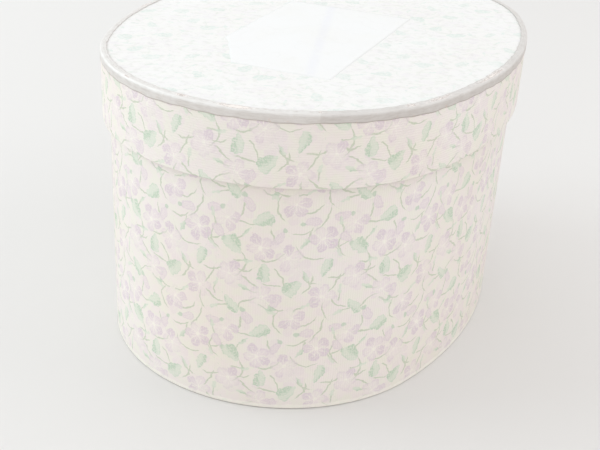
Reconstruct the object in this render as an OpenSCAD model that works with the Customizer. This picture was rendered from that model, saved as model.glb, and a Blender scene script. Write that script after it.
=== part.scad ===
// Oval lidded pasteboard box, covered with paper.
// The long axis lies along Y, the short axis along X and the box opens upwards, along +Z.
// The origin is the centre of the underside, on the surface that the box stands on.
// Every layer follows one oval outline. It is measured by its inset from the lid's outer face.

/* [Size] */
// Length of the lid over its edge binding
lid_length = 268.4; // [240:0.1:320]
// Width of the lid over its edge binding
lid_width = 200; // [190:0.1:230]
// Radius of the oval's two round ends
end_radius = 92; // [80:0.5:94]
// Height of the closed box
total_height = 149; // [100:1:220]
// Depth of the lid's side
lid_depth = 34; // [20:1:60]
// Clear gap between the lid's lining and the body's cover, all round
lid_gap = 1.2; // [0.5:0.1:2.5]

/* [Boards] */
// Thickness of the strip bent into the body's wall
body_board_t = 1.8; // [1.2:0.1:2.5]
// Thickness of the oval base board
base_board_t = 2; // [1.2:0.1:3]
// Thickness of the lid's wall and top boards
lid_board_t = 1.6; // [1.2:0.1:2.5]
// Gap left where the two ends of a wall strip meet
butt_gap = 0.2; // [0.1:0.05:0.5]

/* [Papers] */
// Thickness of the ribbed, printed cover paper
cover_t = 0.3; // [0.2:0.05:0.4]
// Thickness of the plain lining paper
lining_t = 0.25; // [0.15:0.05:0.3]
// Thickness of the tapes that join the boards
tape_t = 0.25; // [0.15:0.05:0.3]
// Thickness of the metallic edge binding
binding_t = 0.35; // [0.2:0.05:0.5]
// How far the cover paper turns in over the rim
rim_turn_in = 12; // [6:1:20]
// How far the cover paper turns under the foot
foot_turn_under = 12; // [6:1:20]
// How far the lid's side paper turns in over its lower edge
lid_turn_in = 8; // [4:1:12]
// How far below the rim the body's lining starts
lining_drop = 4; // [2:1:6]
// How far inside the foot the base's cover paper ends
base_cover_inset = 3; // [2:0.5:6]
// Width of one leg of the inner corner tapes
corner_tape_leg = 10; // [6:1:16]
// Width of the tape over a wall's butt joint
seam_tape_w = 24; // [12:1:40]

/* [Binding] */
// Height of the edge binding down the lid's side
binding_side = 4.4; // [3:0.1:8]
// Width of the edge binding on the lid's top
binding_top = 3.4; // [2:0.1:8]

/* [Label] */
// Width of the paper label, across the lid
label_w = 69; // [50:1:80]
// Length of the paper label, along the lid
label_l = 118; // [60:1:120]
// Centre of the label on the lid
label_centre = [-1, -21];
// Thickness of the label's paper
label_t = 0.2; // [0.1:0.05:0.3]
// Width and length of the corner that is torn off the label
label_tear = [20, 34];

/* [Hidden] */

// Box-maker's oval: two end arcs and two side arcs, tangent where they meet
half_l = lid_length / 2;
half_w = lid_width / 2;
end_centre = half_l - end_radius;
side_radius = (half_w^2 + end_centre^2 - end_radius^2) / (2 * (half_w - end_radius));
side_centre = side_radius - half_w;
arc_split = atan2(end_centre, side_centre);
side_steps = 16;
end_steps = 28;

// Insets of the lid's layers, from its outer face inwards
lid_paper_in = binding_t;
lid_wall_in = lid_paper_in + cover_t;
lid_inner = lid_wall_in + lid_board_t;
lid_lining_in = lid_inner + max(cover_t, tape_t);
lid_clear = lid_lining_in + lining_t;

// Insets of the body's layers
body_outer = lid_clear + lid_gap;
body_wall_in = body_outer + cover_t;
body_inner = body_wall_in + body_board_t;
body_corner_in = body_inner + corner_tape_leg;
body_foot_in = body_outer + foot_turn_under;

// Levels of the base's layers, from the floor upwards
foot_z = cover_t;
base_z = foot_z + cover_t;
base_top = base_z + base_board_t;

// Levels of the lid's layers, from the top downwards
top_paper_z = total_height - binding_t;
lid_board_top = top_paper_z - cover_t;
lid_board_z = lid_board_top - lid_board_t;
lid_tape_z = lid_board_z - tape_t;
rim_z = lid_tape_z - lining_t;
lid_edge_z = total_height - lid_depth;
lid_corner_in = lid_inner + corner_tape_leg;
lid_turn_in_z = lid_edge_z + lid_turn_in;
lid_corner_tape_z = lid_board_z - corner_tape_leg;

// Levels on the body's inner face
turn_in_z = rim_z - rim_turn_in;
lining_top = rim_z - lining_drop;
corner_tape_top = base_top + corner_tape_leg;

pasteboard = [0.72, 0.63, 0.50];
printed_paper = [0.90, 0.86, 0.80];
plain_paper = [0.93, 0.91, 0.86];
cloth_tape = [0.84, 0.80, 0.70];
silver_paper = [0.66, 0.65, 0.66];

function arc(centre, r, from, to, steps) =
    [for (i = [0 : steps - 1]) let (a = from + (to - from) * i / steps)
        centre + r * [cos(a), sin(a)]];

// The oval outline, moved inwards by inset
function oval(inset) = concat(
    arc([-side_centre, 0], side_radius - inset, -arc_split, arc_split, side_steps),
    arc([0, end_centre], end_radius - inset, arc_split, 180 - arc_split, end_steps),
    arc([side_centre, 0], side_radius - inset, 180 - arc_split, 180 + arc_split, side_steps),
    arc([0, -end_centre], end_radius - inset, 180 + arc_split, 360 - arc_split, end_steps));

// A solid oval sheet between two levels
module sheet(inset, low, high) {
    translate([0, 0, low]) linear_extrude(high - low) polygon(oval(inset));
}

// An oval ring between two insets and two levels
module ring(outer, inner, low, high) {
    translate([0, 0, low]) linear_extrude(high - low) difference() {
        polygon(oval(outer));
        polygon(oval(inner));
    }
}

// The strip of a wall's inner face that the seam tape is pressed into, at the +Y end
module seam_strip(inner, low, high, width) {
    intersection() {
        ring(inner - tape_t, inner, low, high);
        translate([-width / 2, 0, low]) cube([width, half_l, high - low]);
    }
}

// Lining on a wall's inner face that steps inwards over a layer at its foot and one at its top
module stepped_lining(inner, low, low_t, low_end, high_start, high_t, high) {
    ring(inner + low_t, inner + low_t + lining_t, low, low_end + lining_t);
    ring(inner, inner + low_t + lining_t, low_end, low_end + lining_t);
    ring(inner, inner + lining_t, low_end, high_start);
    ring(inner, inner + high_t + lining_t, high_start - lining_t, high_start);
    ring(inner + high_t, inner + high_t + lining_t, high_start - lining_t, high);
}

// The gap between the two ends of a wall strip, through the middle of the seam tape
module butt_joint(low, high) {
    translate([-butt_gap / 2, end_centre, low]) cube([butt_gap, end_radius, high - low]);
}

// Plain paper glued under the base, over the cover paper's turned edge
module base_cover_paper() {
    color(plain_paper) {
        ring(body_outer + base_cover_inset, body_foot_in + cover_t, 0, foot_z);
        sheet(body_foot_in, foot_z, base_z);
    }
}

// Oval board that closes the foot of the wall
module base_board() {
    color(pasteboard) sheet(body_inner, base_z, base_top);
}

// Strip of board bent to the oval, its ends butted at the +Y end
module body_wall() {
    color(pasteboard) difference() {
        ring(body_wall_in, body_inner, base_z, rim_z - cover_t);
        seam_strip(body_inner, corner_tape_top, turn_in_z, seam_tape_w);
        butt_joint(base_z, rim_z);
    }
}

// Tape along the butt joint, pressed into the wall's inner face
module body_seam_tape() {
    color(cloth_tape) seam_strip(body_inner, corner_tape_top, turn_in_z, seam_tape_w);
}

// Tape folded into the corner between the base board and the wall
module body_corner_tape() {
    color(cloth_tape) {
        ring(body_inner, body_corner_in, base_top, base_top + tape_t);
        ring(body_inner, body_inner + tape_t, base_top, corner_tape_top);
    }
}

// Printed paper round the wall, turned in over the rim and under the foot
module body_cover_paper() {
    color(printed_paper) {
        ring(body_outer, body_wall_in, foot_z, rim_z);
        ring(body_outer, body_foot_in, foot_z, base_z);
        ring(body_outer, body_inner + cover_t, rim_z - cover_t, rim_z);
        ring(body_inner, body_inner + cover_t, turn_in_z, rim_z);
    }
}

// Plain paper on the wall's inner face, over the corner tape and the turned-in cover
module body_lining_paper() {
    color(plain_paper)
        stepped_lining(body_inner, base_top + tape_t, tape_t, corner_tape_top,
            turn_in_z, cover_t, lining_top);
}

// Plain paper over the base board and the foot of the corner tape
module base_lining_paper() {
    edge = body_inner + tape_t + lining_t;
    color(plain_paper) {
        ring(edge, body_corner_in + lining_t, base_top + tape_t, base_top + tape_t + lining_t);
        sheet(body_corner_in, base_top, base_top + lining_t);
    }
}

// Strip of board bent to the oval, its ends butted at the +Y end
module lid_wall() {
    color(pasteboard) difference() {
        ring(lid_wall_in, lid_inner, lid_edge_z + cover_t, lid_board_top);
        seam_strip(lid_inner, lid_turn_in_z, lid_corner_tape_z, seam_tape_w);
        butt_joint(lid_edge_z, total_height);
    }
}

// Tape along the lid's butt joint, pressed into the wall's inner face
module lid_seam_tape() {
    color(cloth_tape)
        seam_strip(lid_inner, lid_turn_in_z, lid_corner_tape_z, seam_tape_w);
}

// Oval board inside the top of the lid's wall
module lid_board() {
    color(pasteboard) sheet(lid_inner, lid_board_z, lid_board_top);
}

// Tape folded into the corner between the lid's board and wall
module lid_corner_tape() {
    color(cloth_tape) {
        ring(lid_inner, lid_corner_in, lid_tape_z, lid_board_z);
        ring(lid_inner, lid_inner + tape_t, lid_corner_tape_z, lid_board_z);
    }
}

// Printed paper round the lid's wall, turned in over its lower edge
module lid_side_paper() {
    color(printed_paper) {
        ring(lid_paper_in, lid_wall_in, lid_edge_z, lid_board_top);
        ring(lid_paper_in, lid_inner + cover_t, lid_edge_z, lid_edge_z + cover_t);
        ring(lid_inner, lid_inner + cover_t, lid_edge_z, lid_turn_in_z);
    }
}

// Printed paper over the lid's board and the top of its wall
module lid_top_paper() {
    color(printed_paper) sheet(lid_paper_in, lid_board_top, top_paper_z);
}

// Metallic paper strip folded over the lid's top edge
module lid_edge_binding() {
    color(silver_paper) {
        ring(0, lid_paper_in, total_height - binding_side, total_height);
        ring(0, binding_top, top_paper_z, total_height);
    }
}

// Plain paper on the inner face of the lid's wall, over the turned-in paper and the corner tape
module lid_side_lining() {
    color(plain_paper)
        stepped_lining(lid_inner, lid_edge_z + lid_turn_in / 2, cover_t, lid_turn_in_z,
            lid_corner_tape_z, tape_t, rim_z);
}

// Plain paper under the lid's board and the corner tape
module lid_top_lining() {
    color(plain_paper) {
        ring(lid_inner + tape_t, lid_corner_in + lining_t, rim_z, lid_tape_z);
        sheet(lid_corner_in, lid_board_z - lining_t, lid_board_z);
    }
}

// Paper label pasted on the lid, one corner torn off
module lid_label() {
    low = label_centre - [label_w, label_l] / 2;
    high = label_centre + [label_w, label_l] / 2;
    color("white") translate([0, 0, top_paper_z]) linear_extrude(label_t) polygon([
        [high.x, low.y],
        high,
        [low.x, high.y],
        [low.x, low.y + label_tear.y],
        [low.x + label_tear.x, low.y]
    ]);
}

base_cover_paper();
base_board();
body_wall();
body_seam_tape();
body_corner_tape();
body_cover_paper();
body_lining_paper();
base_lining_paper();
lid_wall();
lid_seam_tape();
lid_board();
lid_corner_tape();
lid_side_paper();
lid_top_paper();
lid_edge_binding();
lid_side_lining();
lid_top_lining();
lid_label();
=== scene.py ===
"""Looks of an oval pasteboard box with a lift-off lid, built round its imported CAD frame.

The box is covered with ribbed paper that is printed with small violets and leaves. The lid's
top edge is bound with an aged silver-grey paper strip. Lengths are in metres; the print and the
ribs are laid out in millimetres, in UV maps that follow the paper.
"""

import math

import bpy
import numpy as np
from bpy.props import FloatProperty, FloatVectorProperty, IntProperty, PointerProperty
from mathutils import Matrix, Vector


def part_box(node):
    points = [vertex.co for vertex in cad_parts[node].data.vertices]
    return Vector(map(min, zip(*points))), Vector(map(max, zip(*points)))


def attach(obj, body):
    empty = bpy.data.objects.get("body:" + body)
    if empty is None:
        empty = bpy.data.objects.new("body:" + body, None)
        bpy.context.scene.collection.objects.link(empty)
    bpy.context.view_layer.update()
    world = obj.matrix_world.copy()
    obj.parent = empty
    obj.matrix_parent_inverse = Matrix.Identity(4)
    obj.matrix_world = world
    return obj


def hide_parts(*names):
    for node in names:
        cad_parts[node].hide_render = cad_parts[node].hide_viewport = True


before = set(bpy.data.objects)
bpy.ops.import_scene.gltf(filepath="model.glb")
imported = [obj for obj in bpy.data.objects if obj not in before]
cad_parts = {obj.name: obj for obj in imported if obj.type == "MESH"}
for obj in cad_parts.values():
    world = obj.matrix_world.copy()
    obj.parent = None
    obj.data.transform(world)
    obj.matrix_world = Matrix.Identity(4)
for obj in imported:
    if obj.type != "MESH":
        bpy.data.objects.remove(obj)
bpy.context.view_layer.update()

bl_info = {
    "name": "Violet paper box",
    "version": (1, 0, 0),
    "blender": (4, 5, 0),
    "location": "View3D > Sidebar > Box",
    "description": "Builds the papers, binding and label of an oval pasteboard box",
    "category": "Object",
}

MM = 0.001
PAPER_UV = "paper"

# The oval of the lid's outer face and the levels of the layers, from the frame
HALF_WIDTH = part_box("lid_edge_binding")[1].x
HALF_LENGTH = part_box("lid_edge_binding")[1].y
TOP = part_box("lid_edge_binding")[1].z
BINDING_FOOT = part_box("lid_edge_binding")[0].z
LID_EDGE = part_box("lid_side_paper")[0].z
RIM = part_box("body_cover_paper")[1].z
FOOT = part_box("body_cover_paper")[0].z
BASE_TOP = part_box("base_board")[1].z
TOP_PAPER_LOW, TOP_PAPER_HIGH = (corner.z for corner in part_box("lid_top_paper"))
LID_BOARD_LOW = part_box("lid_board")[0].z
LID_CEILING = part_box("lid_top_lining")[0].z

# How far the papers reach round an edge, and how far the linings stop short of one
BODY_TURN_IN = 12 * MM
LID_TURN_IN = 8 * MM
TAPE_REACH = 10 * MM
BINDING_REACH = 3.4 * MM
LINING_SHORT = 4 * MM


def inset_of(node):
    """How far a node's outer face lies inside the lid's outer face."""
    return HALF_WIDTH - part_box(node)[1].x


# ---------------------------------------------------------------------------------------------
# Sizes and colours that a user would change


class BoxSizes(bpy.types.PropertyGroup):
    """Sizes of the box's finish."""

    end_radius: FloatProperty(
        name="End radius", description="Radius of the oval's round ends",
        default=0.092, min=0.08, max=0.094, unit="LENGTH")
    paper: FloatProperty(
        name="Paper", description="Thickness of the cover paper",
        default=0.0003, min=0.0001, max=0.001, unit="LENGTH")
    lining: FloatProperty(
        name="Lining", description="Thickness of the lining paper",
        default=0.00025, min=0.0001, max=0.001, unit="LENGTH")
    binding: FloatProperty(
        name="Binding", description="Thickness of the edge binding",
        default=0.00035, min=0.0001, max=0.001, unit="LENGTH")
    edge_round: FloatProperty(
        name="Edge rounding", description="Radius that the binding takes over the lid's edge",
        default=0.0013, min=0.0005, max=0.002, unit="LENGTH")
    rib_pitch: FloatProperty(
        name="Rib pitch", description="Distance between the ribs pressed into the paper",
        default=0.0011, min=0.0005, max=0.003, unit="LENGTH")
    rib_height: FloatProperty(
        name="Rib height", description="Height of the ribs pressed into the paper",
        default=0.00005, min=0.0, max=0.0002, unit="LENGTH")


def colour(name, description, default):
    """A colour property."""
    return FloatVectorProperty(
        name=name, description=description, default=default, size=3, min=0.0, max=1.0,
        subtype="COLOR")


class BoxColours(bpy.types.PropertyGroup):
    """Colours of the box's finish, in linear light."""

    cover: colour("Cover paper", "Ground of the printed paper", (0.826, 0.786, 0.752))
    petal: colour("Petals", "Print of the violets", (0.795, 0.72, 0.728))
    petal_dark: colour("Petal veins", "Darker print on the violets", (0.70, 0.61, 0.66))
    leaf: colour("Leaves", "Print of the leaves", (0.69, 0.735, 0.64))
    leaf_dark: colour("Leaf shade", "Darker print on the leaves", (0.50, 0.615, 0.485))
    stem: colour("Stems", "Print of the stems", (0.575, 0.615, 0.50))
    heart: colour("Flower heart", "Pale heart of the violets", (0.90, 0.875, 0.80))
    plain: colour("Plain paper", "Paper under the base", (0.74, 0.68, 0.58))
    lining: colour("Lining", "Lining paper", (0.84, 0.80, 0.71))
    silver: colour("Silver paper", "Aged metallic paper", (0.77, 0.755, 0.735))
    label: colour("Label", "White label paper", (0.855, 0.86, 0.862))
    board: colour("Board", "Grey-buff pasteboard", (0.42, 0.33, 0.22))
    tape: colour("Tape", "Woven joining tape", (0.66, 0.60, 0.48))
    # Pale tone of the lid's top: fading of the print and painted sheen.
    fade_and_sheen: colour("Rubbed paper", "Pale sheen of the lid's top", (0.875, 0.885, 0.885))
    faded_leaf: colour("Faded leaves", "Leaves of the lid's top, faded to grey-green", (0.58, 0.70, 0.66))
    floor: colour("Floor", "Pale floor", (0.765, 0.755, 0.745))


class BoxSettings(bpy.types.PropertyGroup):
    """All settings of the box."""

    sizes: PointerProperty(type=BoxSizes)
    colours: PointerProperty(type=BoxColours)
    columns: IntProperty(
        name="Columns", description="Steps round the plain papers", default=384, min=64, max=1024)


def sizes():
    """The sizes in use."""
    return bpy.context.scene.violet_box.sizes


def tint(name):
    """One of the colours in use, with alpha."""
    return (*getattr(bpy.context.scene.violet_box.colours, name), 1.0)


# ---------------------------------------------------------------------------------------------
# Shader building


class Wire:
    """A number on a shader socket. Arithmetic on it adds Math nodes."""

    def __init__(self, shade, socket):
        self.shade, self.socket = shade, socket

    def math(self, operation, *others):
        """The result of a Math node on this number and others."""
        return self.shade.add("Math", {"operation": operation}, {
            index: value for index, value in enumerate((self, *others))})

    def __add__(self, other):
        return self.math("ADD", other)

    def __sub__(self, other):
        return self.math("SUBTRACT", other)

    def __mul__(self, other):
        return self.math("MULTIPLY", other)

    def __truediv__(self, other):
        return self.math("DIVIDE", other)

    def __pow__(self, other):
        return self.math("POWER", other)

    def __lt__(self, other):
        return self.math("LESS_THAN", other)

    def __abs__(self):
        return self.math("ABSOLUTE")

    def __rsub__(self, other):
        return self.shade.add("Math", {"operation": "SUBTRACT"}, {0: other, 1: self})

    __radd__ = __add__
    __rmul__ = __mul__

    def ramp(self, low, high):
        """0 below low and 1 above high, smooth between; low may be the greater."""
        return self.shade.add(
            "MapRange", {"interpolation_type": "SMOOTHSTEP"},
            {"Value": self, "From Min": low, "From Max": high})


class Shade:
    """A shader tree that is built node by node."""

    def __init__(self, tree):
        self.tree = tree

    def add(self, kind, settings=None, sockets=None, output=0):
        """Adds one node, with its settings and its sockets' values or links."""
        made = self.tree.nodes.new("ShaderNode" + kind)
        for name, value in (settings or {}).items():
            setattr(made, name, value)
        for name, value in (sockets or {}).items():
            self.feed(made.inputs[name], value)
        return Wire(self, made.outputs[output]) if len(made.outputs) else None

    def feed(self, socket, value):
        """Links a wire to a socket, or sets the socket's value."""
        if isinstance(value, Wire):
            self.tree.links.new(value.socket, socket)
        else:
            socket.default_value = value

    def vector(self, operation, *values, output=0):
        """A Vector Math node."""
        return self.add("VectorMath", {"operation": operation}, dict(enumerate(values)), output)

    def split(self, vector):
        """The x, y and z of a vector."""
        first = self.add("SeparateXYZ", {}, {0: vector})
        return [Wire(self, socket) for socket in first.socket.node.outputs]

    def mix(self, factor, low, high):
        """Two colours mixed."""
        return self.add(
            "Mix", {"data_type": "RGBA"}, {0: factor, 6: low, 7: high}, output=2)

    def multiply(self, factor, low, high):
        """One colour darkened by another."""
        return self.add(
            "Mix", {"data_type": "RGBA", "blend_type": "MULTIPLY"},
            {0: factor, 6: low, 7: high}, output=2)

    def noise(self, place, scale, detail=2.0, output=0):
        """A Noise Texture's value."""
        return self.add("TexNoise", {}, {
            "Vector": place, "Scale": scale, "Detail": detail}, output)

    def uv(self):
        """Millimetres along and across the paper."""
        return self.add("UVMap", {"uv_map": PAPER_UV})

    def attribute(self, name):
        """A number stored on the mesh."""
        return self.add("Attribute", {"attribute_name": name}, output=2)

    def place(self):
        """Millimetres in the object's frame."""
        where = self.add("TexCoord", {}, {}, output=3)
        return self.vector("MULTIPLY", where, (1 / MM,) * 3)


def finish(name, base, roughness, relief=None, depth=0.1, metallic=None, **constants):
    """A material from functions that take a Shade; relief is depth millimetres high."""
    material = bpy.data.materials.new(name)
    material.use_nodes = True
    tree = material.node_tree
    tree.nodes.clear()
    shade = Shade(tree)
    shader = shade.add("BsdfPrincipled")
    inputs = shader.socket.node.inputs
    for socket, value in constants.items():
        inputs[socket.replace("_", " ")].default_value = value
    shade.feed(inputs["Base Color"], base(shade))
    shade.feed(inputs["Roughness"], roughness(shade) if callable(roughness) else roughness)
    if metallic:
        shade.feed(inputs["Metallic"], metallic(shade))
    if relief:
        bump = shade.add("Bump", {}, {"Height": relief(shade), "Distance": depth * MM})
        shade.feed(inputs["Normal"], bump)
    shade.add("OutputMaterial", {}, {0: shader})
    return material


def mottled(scale, reach, least, on_paper=True):
    """A roughness that varies a little over the paper, or over the object."""

    def roughness(shade):
        place = shade.uv() if on_paper else shade.place()
        return shade.noise(place, scale) * reach + least

    return roughness


# ---------------------------------------------------------------------------------------------
# The print: violets, leaves, sprigs and stems at given places of one repeat, in
# millimetres, each with the degrees it is turned

REPEAT_MM = 62.0
VIOLETS = (
    (8, 6, 15), (6, 39, 100), (23, 18, 220), (22, 50, 330),
    (39, 28, 60), (37, 58, 150), (55, 17, 280), (54, 44, 190),
)
LEAVES = ((8, 23, 40), (24, 34, 250), (40, 11, 130), (41, 44, 310), (56, 31, 85), (55, 59, 205))
SPRIGS = (
    (15, 13, 30), (31, 8, 200), (14, 30, 120), (30, 42, 300), (48, 36, 10), (13, 47, 240),
    (46, 21, 160), (32, 22, 80), (60, 9, 330), (30, 60, 100), (47, 52, 45),
)
BUDS = ((0, 15, 70), (31, 0, 190), (16, 59, 10), (48, 5, 300), (33, 50, 130), (1, 50, 240))
STEMS = (
    (15, 2, 20), (2, 29, 120), (16, 24, 65), (30, 29, 10), (15, 40, 160), (46, 33, 75),
    (31, 13, 150), (47, 13, 35), (60, 38, 20), (30, 46, 100), (45, 57, 170), (62, 3, 100),
    (22, 60, 60), (49, 25, 140),
)
CROSS_STEMS = (
    (16, 27, 150), (29, 25, 60), (47, 31, 10), (60, 24, 170), (12, 53, 15), (33, 47, 25),
    (45, 1, 80), (24, 10, 100), (60, 51, 110), (1, 11, 165),
)
PRINT_SCALE = 1.1
TURN_STEP = 0.00001


def nearest(shade, place, motifs):
    """Local coordinates about the nearest of some motifs, turned with it, and its turn."""
    best = best_far = None
    half = REPEAT_MM / 2
    for x, y, turn in motifs:
        moved = shade.vector("SUBTRACT", place, (x, y, turn * TURN_STEP))
        local = shade.vector("WRAP", moved, (half, half, 9), (-half, -half, -9))
        far = shade.vector("LENGTH", local, output=1)
        if best is None:
            best, best_far = local, far
            continue
        closer = far < best_far
        best = shade.add(
            "Mix", {"data_type": "VECTOR"}, {0: closer, 4: best, 5: local}, output=1)
        best_far = far.math("MINIMUM", best_far)
    turn = shade.split(best)[2] * (-1 / TURN_STEP)
    angle = turn.math("RADIANS") * -1
    turned = shade.add(
        "VectorRotate", {"rotation_type": "Z_AXIS"}, {"Vector": best, "Angle": angle})
    x, y, _ = shade.split(turned)
    return x, y, turn


def shaken(shade, place, raw, scale, reach):
    """A place on the paper moved about by noise."""
    chance = shade.noise(raw, scale, output=1)
    shift = shade.vector("SUBTRACT", chance, (0.5, 0.5, 0.5))
    return shade.vector("ADD", place, shade.vector("MULTIPLY", shift, (reach, reach, 0)))


def stem_mask(shade, place, motifs, length, width):
    """Thin curved strokes."""
    x, y, turn = nearest(shade, place, motifs)
    bend = (turn * 0.11).math("SINE") * 0.07
    off = abs(y - x * x * bend + bend * 9)
    taper = (abs(x) / ((turn * 1.7).math("SINE") * 0.2 + 0.9)).ramp(length, length * 0.7) * width
    return (taper - off).ramp(-0.14, 0.14)


def violet_masks(shade, x, y, turn):
    """The petals, their darker parts, and their pale veins and heart."""
    radius = (x * x + y * y).math("SQRT")
    angle = y.math("ARCTAN2", x)
    lobe = abs((angle * 2.5).math("COSINE"))
    petal = (angle * (2.5 / math.pi) + 0.5).math("FLOOR")
    chance = ((petal * 12.9 + turn * 0.37).math("SINE") * 43.7).math("FRACT")
    edge = ((lobe ** 0.45) * 0.64 + 0.38) * (chance * 1.6 + 6.2)
    petals = (edge - radius).ramp(-0.25, 0.35) * (chance.ramp(0.0, 0.8) * 0.75 + 0.25)
    part = radius / edge
    streaks = abs((angle * 12.5).math("SINE")).ramp(0.2, 0.9)
    rim = part.ramp(0.70, 0.95) * (streaks * 0.5 + 0.5)
    dark = (chance.ramp(0.5, 0.9) * part.ramp(0.1, 0.6)).math("MAXIMUM", rim)
    veins = abs((angle * 7.5).math("SINE")).ramp(0.5, 0.15) * part.ramp(0.80, 0.55)
    gaps = lobe.ramp(0.30, 0.12) * part.ramp(1.1, 0.8)
    pale = (veins * 0.8).math("MAXIMUM", gaps).math("MAXIMUM", radius.ramp(1.4, 0.8))
    return petals, dark, pale


def petal_masks(shade, x, y):
    """A single drooping petal, its darker edge and streaks, and the cap it hangs from."""
    far = ((x / 4.2) ** 2.0 + (y / (x * 0.2 + 2.3)) ** 2.0).math("SQRT")
    streaks = abs((y * 3.4).math("SINE")).ramp(0.3, 1.0) * 0.6
    cap = ((x + 4.6) ** 2.0 + y * y).math("SQRT").ramp(1.5, 1.0)
    return far.ramp(1.06, 0.90), far.ramp(0.6, 0.95).math("MAXIMUM", streaks), cap


def leaf_masks(shade, x, y, turn, length, width):
    """A leaf with a blunt foot and a pointed tip, and its shaded half between pale veins."""
    x = x + y * y * 0.05
    along = (x / length).math("MAXIMUM", -1.0).math("MINIMUM", 1.0)
    full = (turn * 0.37).math("SINE") * 0.22 + 1.0
    side = ((along + 1.0).math("SQRT") * (1.0 - along) ** 0.8) * full * width
    side = side + (x * 2.3 + turn).math("SINE") * 0.22
    leaf = (side - abs(y)).ramp(-0.15, 0.4)
    veins = abs(((abs(y) * 0.8 - x) * 1.5).math("SINE")).ramp(0.35, 0.05)
    midrib = abs(y).ramp(0.45, 0.15)
    half = (y + (x * 0.5 + turn).math("SINE") * 0.8).ramp(-0.5, 1.2)
    rim = (abs(y) / (side + 0.3)).ramp(0.55, 0.95) * 0.7
    return leaf, half.math("MAXIMUM", rim) * (1 - veins.math("MAXIMUM", midrib) * 0.6)


def sprig_masks(shade, x, y, turn):
    """A small pointed leaf on its stalk."""
    leaf, dark = leaf_masks(shade, x, y, turn, 3.0, 1.15)
    bend = (turn * 0.23).math("SINE") * 0.06
    off = abs(y - (x + 3.0) * (x + 3.0) * bend)
    stalk = (0.36 - off).ramp(-0.14, 0.14) * abs(x + 4.2).ramp(3.2, 2.6)
    return leaf, dark, stalk


def open_sockets(tree, side, kinds):
    """Gives a node group its named inputs or outputs."""
    for name, kind in kinds.items():
        tree.interface.new_socket(name, in_out=side, socket_type="NodeSocket" + kind)


def print_ground(shade, raw):
    """The paper's ground, tinted by slow pools of green and pink."""
    pools = shade.noise(raw, 0.16, 3.0).ramp(0.40, 0.62)
    ground = shade.multiply(pools, tint("cover"), (0.985, 1.0, 0.955, 1))
    return shade.multiply(1 - pools, ground, (1.0, 0.975, 0.985, 1))


def pale_violets(shade, place, ground):
    """A ground with a second, fainter printing of the violets."""
    nearby = nearest(shade, shade.vector("ADD", place, (12, 17, 0)), VIOLETS)
    petals, dark, heart = violet_masks(shade, *nearby)
    tone = shade.mix(heart, tint("petal"), tint("cover"))
    return shade.mix(petals * (dark * 0.35 + 0.35), ground, tone)


def print_group():
    """The print as a node group: millimetres in, its colour and where its leaves are out."""
    tree = bpy.data.node_groups.new("violet print", "ShaderNodeTree")
    open_sockets(tree, "INPUT", {"Place": "Vector", "Fading": "Float"})
    open_sockets(tree, "OUTPUT", {"Colour": "Color", "Leaves": "Float"})
    shade = Shade(tree)
    source = tree.nodes.new("NodeGroupInput").outputs
    raw, fading = Wire(shade, source["Place"]), Wire(shade, source["Fading"])
    raw = shade.vector("MULTIPLY", raw, (PRINT_SCALE, PRINT_SCALE, 0))
    place = shaken(shade, raw, raw, 0.22, 3.2)
    rough_place = shaken(shade, place, raw, 0.6, 1.4)
    blot = shade.noise(raw, 1.1, 3.0).ramp(0.30, 0.58)

    stems = stem_mask(shade, place, STEMS, 7.5, 0.40)
    crosses = stem_mask(shade, place, CROSS_STEMS, 5.8, 0.37)
    sprig, sprig_shade, stalk = sprig_masks(shade, *nearest(shade, place, SPRIGS))
    lines = stems.math("MAXIMUM", crosses).math("MAXIMUM", stalk)
    petals, dark, heart = violet_masks(shade, *nearest(shade, rough_place, VIOLETS))
    leaf, leaf_shade = leaf_masks(shade, *nearest(shade, rough_place, LEAVES), 5.4, 3.3)
    bud, bud_shade, cap = petal_masks(shade, *nearest(shade, rough_place, BUDS)[:2])

    ground = print_ground(shade, raw)
    tone = pale_violets(shade, rough_place, ground)
    tone = shade.mix(lines * (blot * 0.3 + 0.7), tone, tint("stem"))
    bud_tone = shade.mix(bud_shade * (blot * 0.5 + 0.5), tint("petal"), tint("petal_dark"))
    tone = shade.mix(bud * (blot * 0.4 + 0.5), tone, bud_tone)
    tone = shade.mix(cap * 0.7, tone, tint("leaf_dark"))
    petal_tone = shade.mix(dark * (blot * 0.6 + 0.4), tint("petal"), tint("petal_dark"))
    petal_tone = shade.mix(heart * 0.8, petal_tone, tint("heart"))
    tone = shade.mix(petals * (blot * 0.5 + 0.5), tone, petal_tone)
    leaf_tone = shade.mix(leaf_shade * (blot * 0.7 + 0.3), tint("leaf"), tint("leaf_dark"))
    tone = shade.mix(leaf * (blot * 0.45 + 0.5), tone, leaf_tone)
    sprig_tone = shade.mix(sprig_shade, tint("leaf"), tint("leaf_dark"))
    tone = shade.mix(sprig * (blot * 0.3 + 0.6), tone, sprig_tone)
    tone = shade.mix(fading, tone, ground)
    sink = tree.nodes.new("NodeGroupOutput").inputs
    shade.feed(sink["Colour"], tone)
    shade.feed(sink["Leaves"], leaf.math("MAXIMUM", sprig))
    return tree


def printed(shade, place, fading):
    """The print's colour, and where its leaves are, at a place in millimetres."""
    tree = bpy.data.node_groups.get("violet print") or print_group()
    colour = shade.add("Group", {"node_tree": tree}, {"Place": place, "Fading": fading})
    return colour, Wire(shade, colour.socket.node.outputs["Leaves"])


# ---------------------------------------------------------------------------------------------
# The oval and the meshes that follow it


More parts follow.
